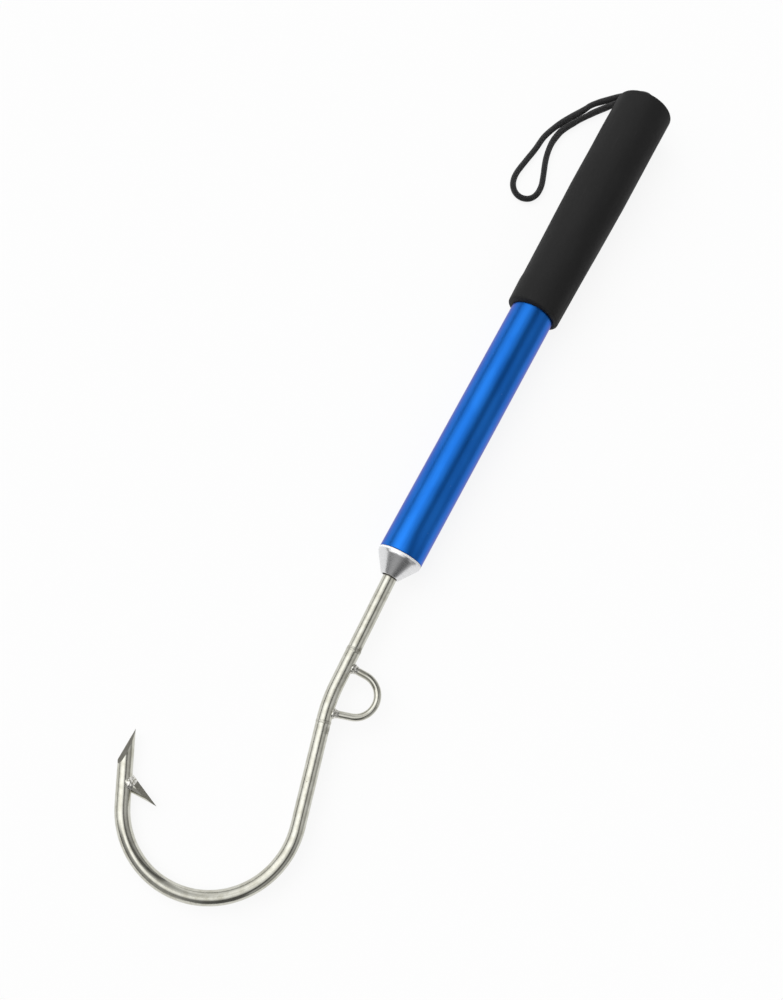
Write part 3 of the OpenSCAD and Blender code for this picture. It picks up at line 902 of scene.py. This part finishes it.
INSIDE = {
    "butt_plug": plain_material("plug_plastic", (0.02, 0.02, 0.022), (0.03, 0.03, 0.033), 0.5, depth=0.03),
    "nose_adhesive": plain_material("epoxy", (0.55, 0.45, 0.2), (0.66, 0.56, 0.3), 0.3, scale=900),
    "shank_washer": plain_material("washer_steel", (0.6, 0.6, 0.6), (0.7, 0.7, 0.7), 0.32, 1.0, 900),
    "lock_nut": plain_material("nut_steel", (0.56, 0.56, 0.57), (0.68, 0.68, 0.68), 0.3, 1.0, 800),
    "nut_insert": plain_material("nylon", (0.03, 0.1, 0.4), (0.045, 0.14, 0.5), 0.45),
}
for name, material in INSIDE.items():
    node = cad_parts[name]
    for material_slot in node.material_slots:
        material_slot.material = material


# Floor, world and lamp

FLOOR_REACH = 4
FLOOR_GLOW = 0.88


def floor_material():
    """Paper that keeps the shadow, and that camera, mirror and clear rays see close to white."""
    material = bpy.data.materials.new("floor")
    material.use_nodes = True
    tree = material.node_tree
    tree.nodes.clear()
    paper = tree.nodes.new("ShaderNodeBsdfDiffuse")
    paper.inputs["Color"].default_value = rgb(0.95, 0.95, 0.95)
    glow = tree.nodes.new("ShaderNodeEmission")
    rays = tree.nodes.new("ShaderNodeLightPath").outputs
    share = math_node(tree, "MAXIMUM", rays["Is Glossy Ray"], rays["Is Transmission Ray"])
    share = math_node(tree, "MAXIMUM", rays["Is Camera Ray"], share)
    share = math_node(tree, "MULTIPLY", share, FLOOR_GLOW)
    top = mix_shader(tree, share, paper.outputs[0], glow.outputs[0])
    # Seen from below, the floor doesn't hide the gaff
    below = tree.nodes.new("ShaderNodeNewGeometry").outputs["Backfacing"]
    clear = tree.nodes.new("ShaderNodeBsdfTransparent").outputs[0]
    out = tree.nodes.new("ShaderNodeOutputMaterial")
    tree.links.new(mix_shader(tree, below, top, clear), out.inputs["Surface"])
    return material


def make_floor():
    tilt = SURFACE_NORMAL.to_track_quat("Z", "Y").to_matrix()
    centre = Vector((0, 0, SURFACE_Z))
    corners = [centre + tilt @ Vector((x, y, 0)) * FLOOR_REACH
               for x, y in ((-1, -1), (1, -1), (1, 1), (-1, 1))]
    mesh = bpy.data.meshes.new("floor")
    mesh.from_pydata(corners, [], [(0, 1, 2, 3)])
    mesh.materials.append(floor_material())
    floor = bpy.data.objects.new("floor", mesh)
    bpy.context.scene.collection.objects.link(floor)


make_floor()

# Studio brightness by angle from straight up, towards -Y below zero and +Y above, in degrees
STUDIO = [
    (-180, 0.9), (-108, 0.8), (-100, 0.3), (-94, 0.06), (-82, 0.06), (-76, 0.85), (-62, 1.35), (-50, 1.75),
    (-28, 1.7), (-18, 1.2), (-8, 0.95), (1, 0.75), (8, 0.14), (20, 0.14), (27, 0.5), (38, 0.78), (54, 0.8),
    (62, 0.58), (80, 0.52), (92, 0.72), (115, 0.9), (180, 0.9),
]
BAND_SHIFT = 0.32
DARKEST = 0.11


def studio_curve(tree, angle):
    """STUDIO's brightness at an angle in radians."""
    ramp = tree.nodes.new("ShaderNodeFloatCurve")
    curve = ramp.mapping.curves[0]
    top = max(level for _, level in STUDIO)
    for degrees, level in STUDIO[1:-1]:
        curve.points.new(degrees / 360 + 0.5, level / top)
    curve.points[0].location = (0, STUDIO[0][1] / top)
    curve.points[-1].location = (1, STUDIO[-1][1] / top)
    for point in curve.points:
        point.handle_type = "VECTOR"
    ramp.mapping.update()
    turns = math_node(tree, "DIVIDE", angle, 2 * math.pi)
    put(tree, ramp.inputs["Value"], math_node(tree, "ADD", turns, 0.5))
    return math_node(tree, "MULTIPLY", ramp.outputs[0], top)


def studio_strength(tree):
    """Brightness by direction: STUDIO's, dimmed in three parts of the room."""

    def number(operation, *values):
        return math_node(tree, operation, *values)

    def rise(value, start, width):
        """0 up to the start, and 1 from that width past it on."""
        return math_node(tree, "DIVIDE", number("SUBTRACT", value, start), width, clamp=True)

    def dimmed(level, share, most):
        """The level, less that much of it where the share is 1."""
        return number("MULTIPLY", level, number("SUBTRACT", 1.0, number("MULTIPLY", share, most)))

    coords = tree.nodes.new("ShaderNodeTexCoord")
    axes = tree.nodes.new("ShaderNodeSeparateXYZ")
    tree.links.new(coords.outputs["Generated"], axes.inputs[0])
    x, y, z = axes.outputs
    x_back, z_down = number("MULTIPLY", x, -1.0), number("MULTIPLY", z, -1.0)
    # The dark band lies further over from the neck on
    over = number("MULTIPLY", rise(x, start=-0.13, width=0.1), BAND_SHIFT)
    level = studio_curve(tree, number("ARCTAN2", number("SUBTRACT", y, over), z))
    # Unlit side of the studio, towards +X
    reach = number("SUBTRACT", x, number("MULTIPLY", number("ABSOLUTE", y), 0.8))
    unlit = number("MULTIPLY", rise(reach, start=-0.03, width=0.12), rise(z, start=0.05, width=0.15))
    unlit = number("MULTIPLY", unlit, rise(z_down, start=-0.95, width=0.17))
    level = dimmed(level, unlit, most=0.78)
    # Darker on the ring's side, from the neck on
    shade = number("MULTIPLY", rise(x, start=-0.16, width=0.08), rise(y, start=0.3, width=0.2))
    level = dimmed(level, shade, most=0.4)
    # Softer light from behind the butt
    level = dimmed(level, rise(x_back, start=0.2, width=0.4), most=0.45)
    return number("MAXIMUM", level, DARKEST)


def make_world():
    """The studio lights the gaff, and the camera sees plain white."""
    world = bpy.data.worlds.new("studio")
    bpy.context.scene.world = world
    world.use_nodes = True
    tree = world.node_tree
    tree.nodes.clear()
    light = tree.nodes.new("ShaderNodeBackground")
    white = tree.nodes.new("ShaderNodeBackground")
    for back in (light, white):
        back.inputs["Color"].default_value = rgb(1, 1, 1)
    put(tree, light.inputs["Strength"], studio_strength(tree))
    rays = tree.nodes.new("ShaderNodeLightPath")
    both = mix_shader(tree, rays.outputs["Is Camera Ray"], light.outputs[0], white.outputs[0])
    out = tree.nodes.new("ShaderNodeOutputWorld")
    tree.links.new(both, out.inputs["Surface"])


make_world()


def make_lamp(name, direction, angle, power):
    data = bpy.data.lights.new(name, "SUN")
    data.angle = math.radians(angle)
    data.energy = power
    lamp = bpy.data.objects.new(name, data)
    lamp.rotation_euler = Vector(direction).to_track_quat("Z", "Y").to_euler()
    lamp.location = Vector(direction)
    lamp.visible_glossy = False
    bpy.context.scene.collection.objects.link(lamp)


make_lamp("key", direction=(-0.15, -0.5, 1), angle=50, power=0.9)

bpy.context.scene.view_settings.view_transform = "Standard"
